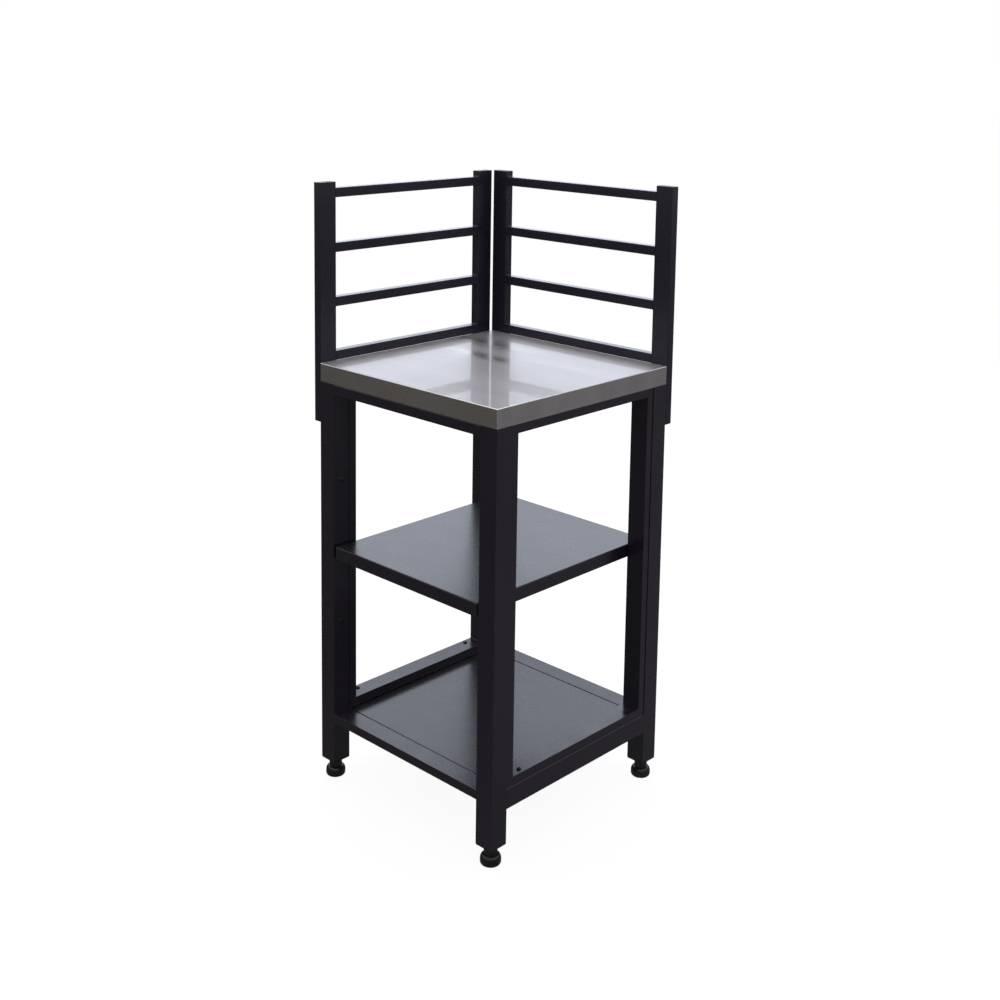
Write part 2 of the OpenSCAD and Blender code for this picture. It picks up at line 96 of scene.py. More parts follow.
def mixColours(tree, factor, first, second):
    node = tree.nodes.new("ShaderNodeMix")
    node.data_type = "RGBA"
    tree.links.new(factor, node.inputs[0])
    for socket, colour in ((node.inputs[6], first), (node.inputs[7], second)):
        if hasattr(colour, "links"):
            tree.links.new(colour, socket)
        else:
            socket.default_value = (*colour, 1)
    return node.outputs[2]


def mixValues(tree, factor, first, value):
    node = tree.nodes.new("ShaderNodeMix")
    tree.links.new(factor, node.inputs[0])
    tree.links.new(first, node.inputs[2])
    node.inputs[3].default_value = value
    return node.outputs[0]


def bumped(tree, height, strength, distance, normal=None):
    node = tree.nodes.new("ShaderNodeBump")
    node.inputs["Strength"].default_value = strength
    node.inputs["Distance"].default_value = distance
    tree.links.new(height, node.inputs["Height"])
    if normal is not None:
        tree.links.new(normal, node.inputs["Normal"])
    return node.outputs[0]


# black powder coat: faint clouds of tone, fine orange peel and slightly uneven gloss
coatLook = {
    "frame": {"dark": (0.0136, 0.0104, 0.0202), "light": (0.0186, 0.0144, 0.0264),
              "gloss": 0.52, "rough": (0.25, 0.29)},
    "rack": {"dark": (0.0152, 0.0130, 0.0248), "light": (0.0205, 0.0178, 0.0318),
             "gloss": 0.40, "rough": (0.25, 0.29)},
    "shelf": {"dark": (0.0080, 0.0090, 0.0115), "light": (0.0115, 0.0125, 0.0155),
              "gloss": 0.55, "rough": (0.270, 0.282)},
}
# the coat's skin: how fine its clouds, its uneven gloss and its two sizes of orange peel are
skinLook = {"clouds": 9, "uneven": 23, "peel": 620, "peelDepth": 0.00022,
            "grit": 2600, "gritDepth": 0.00006, "strength": 0.06}


def powderCoat(name, look):
    material, tree, shader = newMaterial(name)
    here = objectCoords(tree)
    clouds = spread(tree, noise(tree, here, skinLook["clouds"], detail=4), 0, 1)
    tree.links.new(mixColours(tree, clouds, look["dark"], look["light"]), shader.inputs["Base Color"])
    uneven = noise(tree, here, skinLook["uneven"], detail=5, roughness=0.6)
    tree.links.new(spread(tree, uneven, *look["rough"]), shader.inputs["Roughness"])
    peel = noise(tree, here, skinLook["peel"], detail=2)
    peel = bumped(tree, peel, skinLook["strength"], skinLook["peelDepth"])
    grit = noise(tree, here, skinLook["grit"], detail=1)
    grit = bumped(tree, grit, skinLook["strength"], skinLook["gritDepth"], normal=peel)
    tree.links.new(grit, shader.inputs["Normal"])
    shader.inputs["Specular IOR Level"].default_value = look["gloss"]
    return material


coat = {kind: powderCoat(kind + "Coat", look) for kind, look in coatLook.items()}

# satin steel: long fine streaks one way, wider bands along them, and a sheet that isn't perfectly flat
# the worktop's upper face also has a clear film, which mirrors more sharply than the grain below it
steelLook = {
    "top": {"streaks": (3, 420, 60), "tint": (0.402, 0.396, 0.425), "rough": (0.36, 0.42), "wave": 0.0004,
            "film": 0.28, "metal": 0.34},
    "edge": {"streaks": (3, 3, 420), "tint": (0.57, 0.55, 0.54), "rough": (0.26, 0.31), "wave": 0.0002,
             "film": 0.0, "metal": 1.0},
    # the bends' tint, much paler than the edges' steel, is a painted highlight along the worktop's bent
    # edges
    "bend": {"streaks": (3, 3, 420), "tint": (0.88, 0.88, 0.90), "rough": (0.15, 0.19), "wave": 0.0001,
             "film": 0.0, "metal": 1.0},
}
filmLook = {"rough": 0.05, "refraction": 1.5, "warmth": (1, 0.92, 0.85, 1)}
grainLook = {"groove": 0.93, "grooveDepth": 0.00003, "grooveStrength": 0.08,
             "band": 0.82, "bands": (3, 24, 3), "sag": (5, 14, 5), "sagStrength": 0.25,
             "filmDepth": 0.00002, "filmStrength": 0.05}

# two darker marks near the rear corner, a painted dark reflection on the worktop, where the steel is also
# smoother and more metallic: centre, half length and half width
paintedReflectionLook = {"marks": [((-0.150, 0.130), (0.20, 0.048)), ((-0.070, 0.028), (0.17, 0.032))],
             "tint": (0.27, 0.265, 0.28), "rough": 0.20, "strength": 0.56,
             "lines": (4, 50, 1), "faintest": 0.4, "edges": (0.02, 0.65)}


def paintedReflection(tree):
    # mask of the painted dark reflection: 1 in the middle of a mark, 0 outside, broken up along the grain
    lines = noise(tree, objectCoords(tree, paintedReflectionLook["lines"]), 1, detail=2)
    lines = spread(tree, lines, paintedReflectionLook["faintest"], 1)
    total = None
    for centre, half in paintedReflectionLook["marks"]:
        scale = (1 / half[0], 1 / half[1], 0)
        place = objectCoords(tree, scale, (-centre[0] / half[0], -centre[1] / half[1], 0))
        mark = tree.nodes.new("ShaderNodeTexGradient")
        mark.gradient_type = "SPHERICAL"
        tree.links.new(place, mark.inputs["Vector"])
        total = mark.outputs["Fac"] if total is None else maths(tree, "ADD", total, mark.outputs["Fac"])
    total = maths(tree, "MULTIPLY", total, lines)
    return spread(tree, total, 0, paintedReflectionLook["strength"], *paintedReflectionLook["edges"])


def darker(tint, share):
    return tuple(share * part for part in tint)


def brushedSteel(name, look):
    material, tree, shader = newMaterial(name)
    grain = noise(tree, objectCoords(tree, look["streaks"]), 1, detail=4, roughness=0.7)
    grain = spread(tree, grain, 0, 1, start=0.25, end=0.75)
    bands = spread(tree, noise(tree, objectCoords(tree, grainLook["bands"]), 1, detail=3), 0, 1)
    base = mixColours(tree, grain, darker(look["tint"], grainLook["groove"]), look["tint"])
    base = mixColours(tree, bands, darker(look["tint"], grainLook["band"]), base)
    rough = spread(tree, grain, *look["rough"], start=0, end=1)
    if look["metal"] < 1:
        # painted dark reflection near the rear corner: the marks darken the tint, and also lower the
        # roughness and raise the metal there
        marks = paintedReflection(tree)
        base = mixColours(tree, marks, base, paintedReflectionLook["tint"])
        metal = spread(tree, marks, look["metal"], 1, start=0, end=1)
        tree.links.new(metal, shader.inputs["Metallic"])
        rough = mixValues(tree, marks, rough, paintedReflectionLook["rough"])
    else:
        shader.inputs["Metallic"].default_value = look["metal"]
    tree.links.new(base, shader.inputs["Base Color"])
    tree.links.new(rough, shader.inputs["Roughness"])
    sag = noise(tree, objectCoords(tree, grainLook["sag"]), 1, detail=1, roughness=0.4)
    sheet = bumped(tree, sag, grainLook["sagStrength"], look["wave"])
    grooves = bumped(tree, grain, grainLook["grooveStrength"], grainLook["grooveDepth"], sheet)
    tree.links.new(grooves, shader.inputs["Normal"])
    shader.inputs["Coat Weight"].default_value = look["film"]
    if look["film"]:
        shader.inputs["Specular Tint"].default_value = filmLook["warmth"]
    shader.inputs["Coat Roughness"].default_value = filmLook["rough"]
    shader.inputs["Coat IOR"].default_value = filmLook["refraction"]
    skin = bumped(tree, grain, grainLook["filmStrength"], grainLook["filmDepth"], sheet)
    tree.links.new(skin, shader.inputs["Coat Normal"])
    return material


platedLook = {"clouds": 160, "dark": 0.8, "uneven": 0.12, "grit": 900, "strength": 0.1, "depth": 0.0001}
mouldedLook = {"clouds": 60, "dark": 0.7, "uneven": 0.08, "grit": 1400, "strength": 0.12, "depth": 0.00008}


def clouded(name, look, tint, roughness):
    # uneven tone and gloss over a fine grit
    material, tree, shader = newMaterial(name)
    here = objectCoords(tree)
    clouds = spread(tree, noise(tree, here, look["clouds"]), 0, 1)
    tree.links.new(mixColours(tree, clouds, darker(tint, look["dark"]), tint), shader.inputs["Base Color"])
    rough = spread(tree, clouds, roughness, roughness + look["uneven"], start=0, end=1)
    tree.links.new(rough, shader.inputs["Roughness"])
    grit = bumped(tree, noise(tree, here, look["grit"], detail=2), look["strength"], look["depth"])
    tree.links.new(grit, shader.inputs["Normal"])
    return material, shader


def plated(name, tint, roughness):
    material, shader = clouded(name, platedLook, tint, roughness)
    shader.inputs["Metallic"].default_value = 1
    return material


def moulded(name, tint, roughness, gloss):
    material, shader = clouded(name, mouldedLook, tint, roughness)
    shader.inputs["Specular IOR Level"].default_value = gloss
    return material


finish = {
    "worktopTop": brushedSteel("worktopTopSteel", steelLook["top"]),
    "worktopEdge": brushedSteel("worktopEdgeSteel", steelLook["edge"]),
    "worktopBend": brushedSteel("worktopBendHighlightSteel", steelLook["bend"]),
    "zinc": plated("zincPlate", tint=(0.60, 0.61, 0.63), roughness=0.34),
    "blackSteel": plated("blackenedSteel", tint=(0.035, 0.035, 0.04), roughness=0.42),
    "cap": moulded("capPlastic", tint=(0.012, 0.012, 0.014), roughness=0.42, gloss=0.4),
    "foot": moulded("footPlastic", tint=(0.012, 0.011, 0.015), roughness=0.32, gloss=0.5),
}
print("materials made")


# how meshes become pieces: distances in metres, angles in degrees
meshLook = {"flatWeight": 80, "sharp": 35, "sharpSmall": 60, "weld": 1e-6, "along": 0.98, "flat": 0.99}


def addPiece(name, mesh, body, nodes, materials):
    piece = bpy.data.objects.new(name, mesh)
    scene.collection.objects.link(piece)
    for material in materials:
        mesh.materials.append(material)
    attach(piece, body)
    if nodes:
        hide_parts(*nodes)
    # large flat faces keep their own direction, and only the bends between them shade smoothly
    shading = piece.modifiers.new("shading", "WEIGHTED_NORMAL")
    shading.mode = "FACE_AREA"
    shading.weight = meshLook["flatWeight"]
    shading.keep_sharp = True
    return piece


def meshFrom(bm, name, sharp=meshLook["sharp"], wall=0):
    # a wall of the given thickness inwards, then smooth faces with crisp edges above the sharp angle
    bmesh.ops.recalc_face_normals(bm, faces=bm.faces)
    if wall:
        bmesh.ops.solidify(bm, geom=list(bm.faces), thickness=wall)
    for face in bm.faces:
        face.smooth = True
    for edge in bm.edges:
        if len(edge.link_faces) == 2 and edge.calc_face_angle() > math.radians(sharp):
            edge.smooth = False
    mesh = bpy.data.meshes.new(name)
    bm.to_mesh(mesh)
    bm.free()
    return mesh


def boxBetween(bm, low, high):
    size = high - low
    place = Matrix.Translation((low + high) / 2) @ Matrix.Diagonal((*size, 1))
    return bmesh.ops.create_cube(bm, size=1, matrix=place)["verts"]


def edgesAlong(edges, axis):
    found = []
    for edge in edges:
        step = edge.verts[0].co - edge.verts[1].co
        if abs(step[axis]) > meshLook["along"] * step.length and step.length > 0:
            found.append(edge)
    return found


def bevelEdges(bm, edges, width, segments):
    bmesh.ops.bevel(bm, geom=edges, offset=width, offset_type="OFFSET", affect="EDGES",
                    segments=segments, profile=0.5, material=-1)


def aimed(place, direction):
    # turns +Z to the direction and moves the origin to the place
    turn = Vector((0, 0, 1)).rotation_difference(Vector(direction)).to_matrix().to_4x4()
    return Matrix.Translation(place) @ turn


def spun(outline, steps):
    # closed body round Z from radius and height pairs that start and end on the axis
    bm = bmesh.new()
    verts = [bm.verts.new((radius, 0, height)) for radius, height in outline]
    edges = [bm.edges.new(pair) for pair in zip(verts, verts[1:])]
    bmesh.ops.spin(bm, geom=verts + edges, cent=(0, 0, 0), axis=(0, 0, 1), dvec=(0, 0, 0),
                   angle=2 * math.pi, steps=steps, use_merge=True)
    bmesh.ops.remove_doubles(bm, verts=bm.verts, dist=meshLook["weld"])
    return bm


def gather(target, source, places):
    # adds a copy of the source at each place
    mesh = bpy.data.meshes.new("copied")
    source.to_mesh(mesh)
    source.free()
    for place in places:
        count = len(target.verts)
        target.from_mesh(mesh)
        target.verts.ensure_lookup_table()
        bmesh.ops.transform(target, matrix=place, verts=target.verts[count:])
    bpy.data.meshes.remove(mesh)


def camel(text):
    first, *rest = text.split("_")
    return first + "".join(word.capitalize() for word in rest)


tubeLook = {"corner": 0.0012, "wall": 0.002, "segments": 4,
            "closeCorner": 0.0006, "close": ("leg", "ring", "bottom_rail"),  # they lie against each other
            "rolledCorner": 0.0022, "rolled": "side_rail"}


def tubePiece(node, axis, material):
    # hollow tube in the place of a CAD tube, its long corners rounded
    low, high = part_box(node)
    bm = bmesh.new()
    boxBetween(bm, low, high)
    corner = tubeLook["corner"]
    if node.startswith(tubeLook["rolled"]):
        corner = tubeLook["rolledCorner"]
    elif node.startswith(tubeLook["close"]):
        corner = tubeLook["closeCorner"]
    bevelEdges(bm, edgesAlong(bm.edges, axis), corner, tubeLook["segments"])
    ends = [face for face in bm.faces if abs(face.normal[axis]) > meshLook["flat"]]
    bmesh.ops.delete(bm, geom=ends, context="FACES_ONLY")
    mesh = meshFrom(bm, camel(node), wall=tubeLook["wall"])
    addPiece(camel(node), mesh, "frame", [node], [material])


rackUprights = {"left": ["left_rack_front_upright", "left_rack_back_upright"],
                "back": ["back_rack_left_upright", "back_rack_right_upright"]}
rackRails = {side: [f"{side}_rack_rail_{number}" for number in (1, 2, 3, 4)] for side in ("left", "back")}
legs = ["leg_front_left", "leg_front_right", "leg_back_left", "leg_back_right"]
ringPosts = ["ring_left_front_post", "ring_left_back_post", "ring_right_front_post", "ring_right_back_post"]
tubes = {
    0: ["top_rail_front", "top_rail_back", "bottom_rail_front", "bottom_rail_back", *rackRails["back"]],
    1: ["side_rail_left", "side_rail_right", "ring_left_bottom", "ring_left_top",
        "ring_right_bottom", "ring_right_top", *rackRails["left"]],
    2: [*legs, *ringPosts, *rackUprights["left"], *rackUprights["back"]],
}
for axis, names in tubes.items():
    for node in names:
        if "rack" in node:
            tubePiece(node, axis, coat["rack"])
        else:
            tubePiece(node, axis, coat["frame"])
print("tubes made")

# coated weld beads in the inner corners of the joints
weldLook = {"radius": 0.0016, "ripple": 0.12, "pitch": 0.0016, "sides": 10, "tip": 0.45,
            "rackMargin": 0.0025, "frameMargin": 0.003}


def bead(bm, start, end):
    # rippled round bead along a corner line, half sunk in both faces
    start, end = Vector(start), Vector(end)
    length = (end - start).length
    cuts = int(length / weldLook["pitch"])
    made = bmesh.new()
    bmesh.ops.create_cone(made, cap_ends=True, segments=weldLook["sides"], radius1=weldLook["radius"],
                          radius2=weldLook["radius"], depth=length)
    bmesh.ops.subdivide_edges(made, edges=edgesAlong(made.edges, 2), cuts=cuts)
    for vert in made.verts:
        swell = 1 + weldLook["ripple"] * math.cos(math.pi * vert.co.z / weldLook["pitch"])
        taper = min(1.0, weldLook["tip"] + (length / 2 - abs(vert.co.z)) / (2 * weldLook["radius"]))
        vert.co.x *= swell * taper
        vert.co.y *= swell * taper
    gather(bm, made, [aimed((start + end) / 2, end - start)])


def railBeads(bm, node, axis, across):
    # beads over and under both ends of a rail, along the across axis
    low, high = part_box(node)
    margin = weldLook["rackMargin"]
    for end in (low[axis], high[axis]):
        for level in (low.z, high.z):
            start, stop = low.copy(), high.copy()
            for point, edge in ((start, low[across] + margin), (stop, high[across] - margin)):
                point[axis] = end
                point.z = level
                point[across] = edge
            bead(bm, start, stop)


rackBeads = bmesh.new()
for node in rackRails["left"]:
    railBeads(rackBeads, node, 1, 0)
for node in rackRails["back"]:
    railBeads(rackBeads, node, 0, 1)
addPiece("rackWelds", meshFrom(rackBeads, "rackWelds"), "frame", [], [coat["rack"]])

frameBeads = bmesh.new()
margin = weldLook["frameMargin"]
for node in ("bottom_rail_front", "bottom_rail_back", "top_rail_front", "top_rail_back"):
    low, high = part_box(node)
    for end in (low.x, high.x):
        bead(frameBeads, (end, low.y + margin, low.z), (end, high.y - margin, low.z))
for node in ("side_rail_left", "side_rail_right"):
    low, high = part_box(node)
    for end in (low.y, high.y):
        bead(frameBeads, (low.x + margin, end, low.z), (high.x - margin, end, low.z))
for node in ringPosts:
    low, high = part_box(node)
    inner = high.y if "front" in node else low.y
    for level in (low.z, high.z):
        bead(frameBeads, (low.x + margin, inner, level), (high.x - margin, inner, level))
addPiece("frameWelds", meshFrom(frameBeads, "frameWelds"), "frame", [], [coat["frame"]])
print("welds made")

worktopLook = {"lip": 0.027, "sheet": 0.0012, "bend": 0.0014, "segments": 6}
shelfLook = {"lip": 0.014, "sheet": 0.0015, "bend": 0.0022, "segments": 6}


def upward(face):
    # 0 for edges, 1 for the flat upper face and 2 for bends
    if face.normal.z > meshLook["flat"]:
        return 1
    return 2 if max(abs(part) for part in face.normal) < meshLook["flat"] else 0


def trayPiece(name, node, look, materials):
    # folded sheet, open below: turned-down edges with rounded bends and lips turned in
    low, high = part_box(node)
    bm = bmesh.new()
    boxBetween(bm, low, high)
    bevelEdges(bm, list(bm.edges), look["bend"], look["segments"])
    under = min(bm.faces, key=lambda face: face.calc_center_median().z)
    bmesh.ops.inset_region(bm, faces=[under], thickness=look["lip"] - look["bend"], use_even_offset=True)
    bmesh.ops.delete(bm, geom=[under], context="FACES")
    for face in bm.faces:
        face.material_index = upward(face)
    addPiece(name, meshFrom(bm, name, wall=look["sheet"]), "frame", [node], materials)


trayPiece("worktopSheet", "worktop", worktopLook,
          [finish["worktopEdge"], finish["worktopTop"], finish["worktopBend"]])
for name, node in (("middleShelfSheet", "middle_shelf"), ("bottomShelfSheet", "bottom_shelf")):
    trayPiece(name, node, shelfLook, [coat["frame"], coat["shelf"], coat["frame"]])
print("sheets made")

# solids that keep their shape, with their sharp edges broken: finish, slot and width of the broken edge
softened = {
    "worktop_brace_front": ("zinc", "zinc_steel", 0.0006),
    "worktop_brace_back": ("zinc", "zinc_steel", 0.0006),
    "left_rack_caps": ("cap", "cap_plastic", 0.0005),
    "back_rack_caps": ("cap", "cap_plastic", 0.0005),
    "leg_inserts": ("cap", "cap_plastic", 0.0004),
    "foot_nuts": ("zinc", "zinc_steel", 0.0004),
    "shelf_spacers": ("blackSteel", "black_steel", 0.0004),
}
softenLook = {"level": math.radians(1), "sharp": math.radians(50), "segments": 2}
for node, (kind, slot, width) in softened.items():
    bm = bmesh.new()
    bm.from_mesh(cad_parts[node].data)
    bmesh.ops.remove_doubles(bm, verts=bm.verts, dist=meshLook["weld"])
    bmesh.ops.dissolve_limit(bm, angle_limit=softenLook["level"], verts=bm.verts, edges=bm.edges)
    sharp = [edge for edge in bm.edges
             if len(edge.link_faces) == 2 and edge.calc_face_angle() > softenLook["sharp"]]
    bevelEdges(bm, sharp, width, softenLook["segments"])
    mesh = meshFrom(bm, camel(node), meshLook["sharpSmall"])
    addPiece(camel(node), mesh, "frame", [node], [finish[kind]])
print("caps, inserts, spacers and braces made")

# button screws with a hexagon socket: sizes as shares of the shank's width
screwLook = {"head": 0.875, "height": 0.55, "crown": 0.5, "brim": 0.2, "socket": 0.32, "depth": 0.6,
             "chamfer": 0.06, "sides": 36}


def screwBody(width, length):
    # head above the origin, shank below it
    head, height, socket, depth, chamfer = (screwLook[part] * width for part in
                                            ("head", "height", "socket", "depth", "chamfer"))
    depth *= screwLook["height"]
    crown, brim = screwLook["crown"], screwLook["brim"]
    dome = [(head * (crown + (1 - crown) * math.cos(turn)), height * (brim + (1 - brim) * math.sin(turn)))
            for turn in (math.radians(angle) for angle in range(90, -1, -10))]
    bm = spun([(0, height - depth), (socket, height - depth), (socket, height - chamfer),
               (socket + chamfer, height), *dome, (head, 0), (width / 2, 0), (width / 2, chamfer - length),
               (width / 2 - chamfer, -length), (0, -length)], screwLook["sides"])
    # the round socket's wall moves in to six flat sides, each 30 degrees to either side of its middle
    for vert in bm.verts:
        radius = vert.co.xy.length
        if vert.co.z > brim * height and 0.1 * socket < radius < socket + 1.01 * chamfer:
            turn = math.degrees(math.atan2(vert.co.y, vert.co.x)) % 60 - 30
            squeeze = math.cos(math.radians(30)) / math.cos(math.radians(turn))
            vert.co.x *= squeeze
            vert.co.y *= squeeze
    return bm


def fastenerPiece(node, parts, material):
    bm = bmesh.new()
    for body, places in parts:
        gather(bm, body, places)
    addPiece(camel(node), meshFrom(bm, camel(node)), "frame", [node], [material])


def corners(node, axes, inset):
    # the four pairs of values at the corners of a node's box, drawn in by the inset
    low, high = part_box(node)
    return [(first, second) for first in (low[axes[0]] + inset, high[axes[0]] - inset)
            for second in (low[axes[1]] + inset, high[axes[1]] - inset)]


fastenerLook = {"rackBolt": 0.008, "shelfBolt": 0.006, "screw": 0.005, "plug": 0.0125, "plugHeight": 0.003,
                "plugStem": 0.010, "plugChamfer": 0.0005}
headShare = screwLook["head"]
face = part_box("left_rack_front_upright")[0].x
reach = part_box("left_rack_bolts")[1].x - face
width = fastenerLook["rackBolt"]
fastenerPiece("left_rack_bolts", [(screwBody(width, reach), [
    aimed((face, y, z), (-1, 0, 0)) for y, z in corners("left_rack_bolts", (1, 2), headShare * width)])],
    finish["blackSteel"])
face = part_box("back_rack_left_upright")[1].y
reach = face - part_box("back_rack_bolts")[0].y
fastenerPiece("back_rack_bolts", [(screwBody(width, reach), [
    aimed((x, face, z), (0, 1, 0)) for x, z in corners("back_rack_bolts", (0, 2), headShare * width)])],
    finish["blackSteel"])

width = fastenerLook["screw"]
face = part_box("ring_left_bottom")[1].z
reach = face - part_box("ring_screws")[0].z
fastenerPiece("ring_screws", [(screwBody(width, reach), [
    aimed((x, y, face), (0, 0, 1)) for x, y in corners("ring_screws", (0, 1), headShare * width)])],
    finish["blackSteel"])
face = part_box("ring_left_top")[0].z
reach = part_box("worktop_screws")[1].z - face
fastenerPiece("worktop_screws", [(screwBody(width, reach), [
    aimed((x, y, face), (0, 0, -1)) for x, y in corners("worktop_screws", (0, 1), headShare * width)])],
    finish["zinc"])
shelfLow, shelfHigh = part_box("bottom_shelf")
screwLow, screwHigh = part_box("floor_screws")
front, back = shelfLow.y + shelfLook["sheet"], shelfHigh.y - shelfLook["sheet"]
level = (screwLow.z + screwHigh.z) / 2
columns = (screwLow.x + headShare * width, screwHigh.x - headShare * width)
fastenerPiece("floor_screws", [
    (screwBody(width, front - screwLow.y), [aimed((x, front, level), (0, 1, 0)) for x in columns]),
    (screwBody(width, screwHigh.y - back), [aimed((x, back, level), (0, -1, 0)) for x in columns])],
    finish["zinc"])

width = fastenerLook["shelfBolt"]
shelfLow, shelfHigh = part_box("middle_shelf")
boltLow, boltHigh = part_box("shelf_bolts")
left, right = shelfLow.x + shelfLook["sheet"], shelfHigh.x - shelfLook["sheet"]
level = (boltLow.z + boltHigh.z) / 2
rows = (boltLow.y + headShare * width, boltHigh.y - headShare * width)
fastenerPiece("shelf_bolts", [
    (screwBody(width, left - boltLow.x), [aimed((left, y, level), (1, 0, 0)) for y in rows]),
    (screwBody(width, boltHigh.x - right), [aimed((right, y, level), (-1, 0, 0)) for y in rows])],
    finish["blackSteel"])

# domed plugs in the spare shelf holes
radius, height = fastenerLook["plug"] / 2, fastenerLook["plugHeight"]
stem, chamfer = fastenerLook["plugStem"], fastenerLook["plugChamfer"]
plugDome = [(radius * math.cos(math.radians(angle)), height * math.sin(math.radians(angle)))
            for angle in range(0, 90, 10)]
plugOutline = [(0, -stem), (width / 2 - chamfer, -stem), (width / 2, chamfer - stem), (width / 2, 0),
               *plugDome, (0, height)]
leftFace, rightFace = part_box("leg_front_left")[1].x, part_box("leg_front_right")[0].x
plugPlaces = []
for y, z in corners("hole_plugs", (1, 2), radius):
    plugPlaces += [aimed((leftFace, y, z), (1, 0, 0)), aimed((rightFace, y, z), (-1, 0, 0))]
fastenerPiece("hole_plugs", [(spun(plugOutline, screwLook["sides"]), plugPlaces)],
              finish["cap"])
print("fasteners made")

footLook = {"base": 0.0157, "rim": 0.006, "dome": 0.0105, "top": 0.0200, "collar": 0.0128, "hole": 0.0051,
            "seat": 0.022, "groove": 0.0003, "edge": 0.0006, "steps": 64}
stemLook = {"pitch": 0.0015, "depth": 0.0008, "crest": (0.4, 0.6), "steps": 24}


def footOutline(low, high):
    # underside, rounded rim, straight band with a fine mould line, dome, collar and stem hole
    wide, tall = (high.x - low.x) / 2, high.z - low.z
    base, rim, dome, top = (footLook[part] for part in ("base", "rim", "dome", "top"))
    collar, groove, edge = (footLook[part] for part in ("collar", "groove", "edge"))
    turns = [math.radians(angle) for angle in range(0, 91, 9)]
    points = [(0, 0)]
    points += [(base + (wide - base) * math.sin(turn), rim * (1 - math.cos(turn))) for turn in turns]
    middle = (rim + dome) / 2
    points += [(wide, middle - 2 * groove), (wide - groove, middle), (wide, middle + 2 * groove)]
    points += [(collar + (wide - collar) * math.cos(turn), dome + (top - dome) * math.sin(turn))
               for turn in turns]
    points += [(collar, tall - edge), (collar - edge, tall), (footLook["hole"], tall),
               (footLook["hole"], tall - footLook["seat"]), (0, tall - footLook["seat"])]
    return points


def threadedRod(low, high):
    # solid rod with a helical thread over its whole length
    radius = (high.x - low.x) / 2
    root, pitch, steps = radius - stemLook["depth"], stemLook["pitch"], stemLook["steps"]
    turns = int((high.z - low.z) / pitch) - 1
    bm = bmesh.new()
    rise = pitch / steps
    rising, falling = (share * pitch for share in stemLook["crest"])
    profile = [(root, 0), (radius, rising), (radius, falling), (root, pitch)]
    verts = [bm.verts.new((across, 0, up)) for across, up in profile]
    edges = [bm.edges.new(pair) for pair in zip(verts, verts[1:])]
    bmesh.ops.spin(bm, geom=verts + edges, cent=(0, 0, 0), axis=(0, 0, 1), dvec=(0, 0, rise),
                   angle=2 * math.pi * turns, steps=turns * steps)
    bmesh.ops.remove_doubles(bm, verts=bm.verts, dist=meshLook["weld"])
    middle = (high.z - low.z) / 2
    border = [edge for edge in bm.edges if len(edge.link_faces) == 1]
    made = bmesh.ops.extrude_edge_only(bm, edges=border)["geom"]
    for vert in made:
        if isinstance(vert, bmesh.types.BMVert):
            vert.co.z = 0 if vert.co.z < middle else high.z - low.z
    border = [edge for edge in bm.edges if len(edge.link_faces) == 1]
    bmesh.ops.holes_fill(bm, edges=border, sides=0)
    return bm


for spot in ("front_left", "front_right", "back_left", "back_right"):
    low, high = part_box("foot_pad_" + spot)
    middle = Vector(((low.x + high.x) / 2, (low.y + high.y) / 2, low.z))
    pad = bmesh.new()
    gather(pad, spun(footOutline(low, high), footLook["steps"]), [Matrix.Translation(middle)])
    name = camel("foot_pad_" + spot)
    addPiece(name, meshFrom(pad, name), "foot_" + spot, ["foot_pad_" + spot],
             [finish["foot"]])
    low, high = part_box("foot_stem_" + spot)
    middle.z = low.z
    stem = bmesh.new()
    gather(stem, threadedRod(low, high), [Matrix.Translation(middle)])
    name = camel("foot_stem_" + spot)
    addPiece(name, meshFrom(stem, name), "foot_" + spot, ["foot_stem_" + spot],
             [finish["zinc"]])
print("feet made")


# floor, light and camera
def cameraSeen(tree):
    # 1 for camera, glossy and transmission rays, else 0
    path = tree.nodes.new("ShaderNodeLightPath")
    total = None
    for ray in ("Is Camera Ray", "Is Glossy Ray", "Is Transmission Ray"):
        seen = path.outputs[ray]
        total = seen if total is None else maths(tree, "MAXIMUM", total, seen)
    return total


def stagePiece(name, bm, material):
    bmesh.ops.recalc_face_normals(bm, faces=bm.faces)
    mesh = bpy.data.meshes.new(name)
    bm.to_mesh(mesh)
    bm.free()
    mesh.materials.append(material)
    piece = bpy.data.objects.new(name, mesh)
    scene.collection.objects.link(piece)
    return piece


floorLook = {"size": 60, "colour": (0.12, 0.12, 0.12), "glow": 0.935}
floorMaterial = bpy.data.materials.new("paleFloor")
floorMaterial.use_nodes = True
tree = floorMaterial.node_tree
tree.nodes.clear()
output = tree.nodes.new("ShaderNodeOutputMaterial")
diffuse = tree.nodes.new("ShaderNodeBsdfDiffuse")
diffuse.inputs["Color"].default_value = (*floorLook["colour"], 1)
glow = tree.nodes.new("ShaderNodeEmission")
strength = spread(tree, cameraSeen(tree), 0, floorLook["glow"], start=0, end=1)
tree.links.new(strength, glow.inputs["Strength"])
both = tree.nodes.new("ShaderNodeAddShader")
tree.links.new(diffuse.outputs[0], both.inputs[0])
tree.links.new(glow.outputs[0], both.inputs[1])
tree.links.new(both.outputs[0], output.inputs["Surface"])
bm = bmesh.new()
bmesh.ops.create_grid(bm, x_segments=1, y_segments=1, size=floorLook["size"] / 2)
stagePiece("floor", bm, floorMaterial)

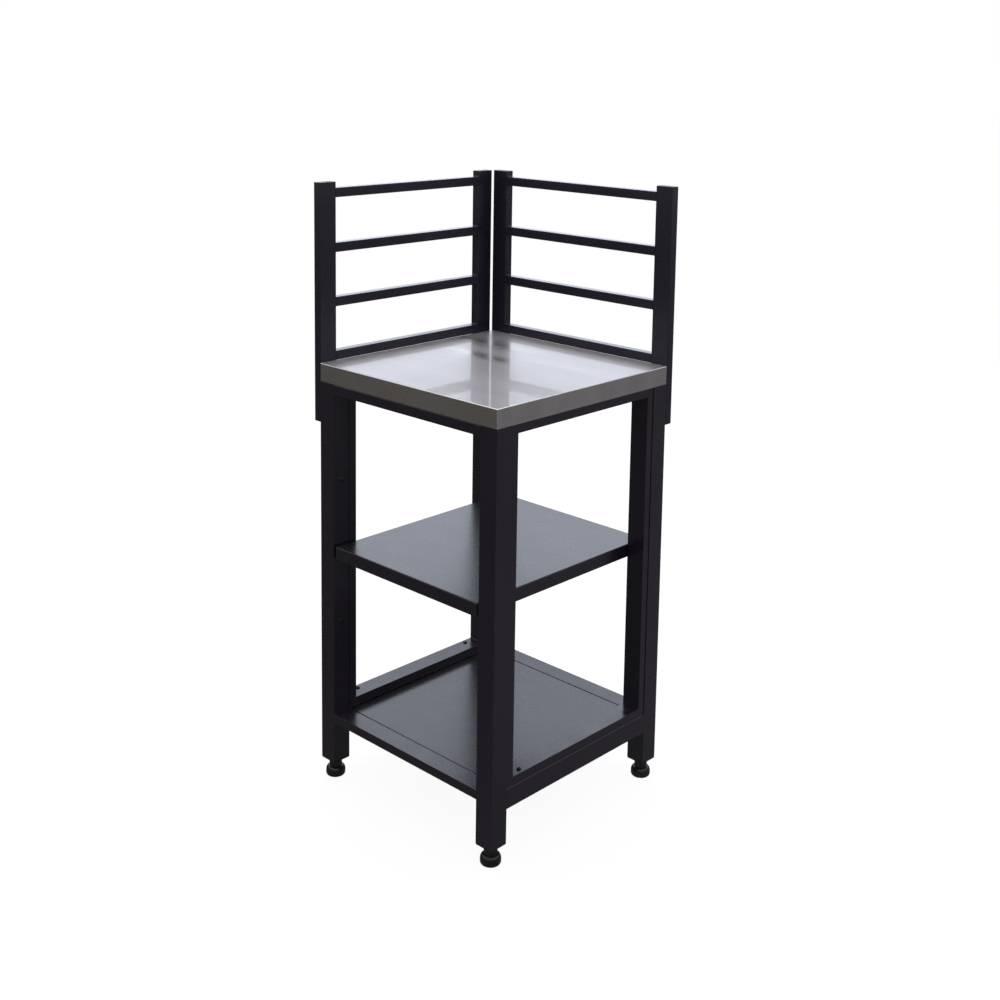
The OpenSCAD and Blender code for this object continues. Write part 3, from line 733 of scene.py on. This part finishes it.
# dark studio flag round the object, seen only in reflections: a disc with a low wall, lighter on the right
flagLook = {"radius": 2.6, "height": 1.12, "lift": 0.0005, "sides": 64,
            "left": (0.114, 0.107, 0.100), "right": (0.215, 0.208, 0.225)}
flagMaterial = bpy.data.materials.new("darkFlag")
flagMaterial.use_nodes = True
tree = flagMaterial.node_tree
tree.nodes.clear()
output = tree.nodes.new("ShaderNodeOutputMaterial")
dim = tree.nodes.new("ShaderNodeEmission")
side = tree.nodes.new("ShaderNodeSeparateXYZ")
tree.links.new(objectCoords(tree), side.inputs[0])
sideways = maths(tree, "ADD", side.outputs["X"], side.outputs["Y"])
sideways = spread(tree, sideways, 0, 1, start=-1, end=1)
mixed = mixColours(tree, sideways, flagLook["left"], flagLook["right"])
tree.links.new(mixed, dim.inputs["Color"])
tree.links.new(dim.outputs[0], output.inputs["Surface"])
bm = bmesh.new()
bmesh.ops.create_circle(bm, cap_ends=True, segments=flagLook["sides"], radius=flagLook["radius"],
                        matrix=Matrix.Translation((0, 0, flagLook["lift"])))
rim = [edge for edge in bm.edges if len(edge.link_faces) == 1]
raised = bmesh.ops.extrude_edge_only(bm, edges=rim)["geom"]
raised = [part for part in raised if isinstance(part, bmesh.types.BMVert)]
bmesh.ops.translate(bm, vec=(0, 0, flagLook["height"]), verts=raised)
flag = stagePiece("reflectionFlag", bm, flagMaterial)
flag.visible_camera = False
flag.visible_diffuse = False
flag.visible_shadow = False
flag.visible_transmission = False
flag.visible_volume_scatter = False

airLook = {"light": 0.55, "seen": 1.0}
world = bpy.data.worlds.new("paleStudio")
scene.world = world
world.use_nodes = True
tree = world.node_tree
tree.nodes.clear()
output = tree.nodes.new("ShaderNodeOutputWorld")
air = tree.nodes.new("ShaderNodeBackground")
air.inputs["Color"].default_value = (1, 1, 1, 1)
strength = spread(tree, cameraSeen(tree), airLook["light"], airLook["seen"], start=0, end=1)
tree.links.new(strength, air.inputs["Strength"])
tree.links.new(air.outputs[0], output.inputs["Surface"])

lampLook = {
    "skyPanel": {"place": (-0.4, 0.4, 3.6), "size": (3.0, 3.0), "power": 45, "colour": (1, 1, 1)},
    "backPanel": {"place": (-2.6, 2.7, 1.8), "size": (4.4, 1.4), "power": 28, "colour": (0.79, 0.90, 1.17)},
}
lampTarget = Vector((0, 0, 0.6))
for name, look in lampLook.items():
    data = bpy.data.lights.new(name, "AREA")
    data.shape = "RECTANGLE"
    data.size, data.size_y = look["size"]
    data.energy = look["power"]
    data.color = look["colour"]
    lamp = bpy.data.objects.new(name, data)
    scene.collection.objects.link(lamp)
    lamp.location = look["place"]
    lamp.rotation_euler = (lampTarget - Vector(look["place"])).to_track_quat("-Z", "Y").to_euler()
    lamp.visible_camera = False

cameraLook = {"place": (1.8461, -1.9192, 1.4749), "yaw": 43.78, "pitch": 8.177, "roll": 0.819,
              "lens": 49.265, "sensor": 36, "shift": (0.0019, -0.2505)}
yaw, pitch, roll = (math.radians(cameraLook[part]) for part in ("yaw", "pitch", "roll"))
forward = Vector((-math.sin(yaw) * math.cos(pitch), math.cos(yaw) * math.cos(pitch), -math.sin(pitch)))
level = Vector((math.cos(yaw), math.sin(yaw), 0))
upright = level.cross(forward)
right = math.cos(roll) * level + math.sin(roll) * upright
top = -math.sin(roll) * level + math.cos(roll) * upright
cameraData = bpy.data.cameras.new("photoView")
cameraData.lens = cameraLook["lens"]
cameraData.sensor_width = cameraLook["sensor"]
cameraData.shift_x, cameraData.shift_y = cameraLook["shift"]
camera = bpy.data.objects.new("photoView", cameraData)
scene.collection.objects.link(camera)
turn = Matrix((right, top, -forward)).transposed().to_4x4()
camera.matrix_world = Matrix.Translation(cameraLook["place"]) @ turn
scene.camera = camera
scene.view_settings.view_transform = "Standard"
print("floor, light and camera made")

bpy.context.view_layer.update()
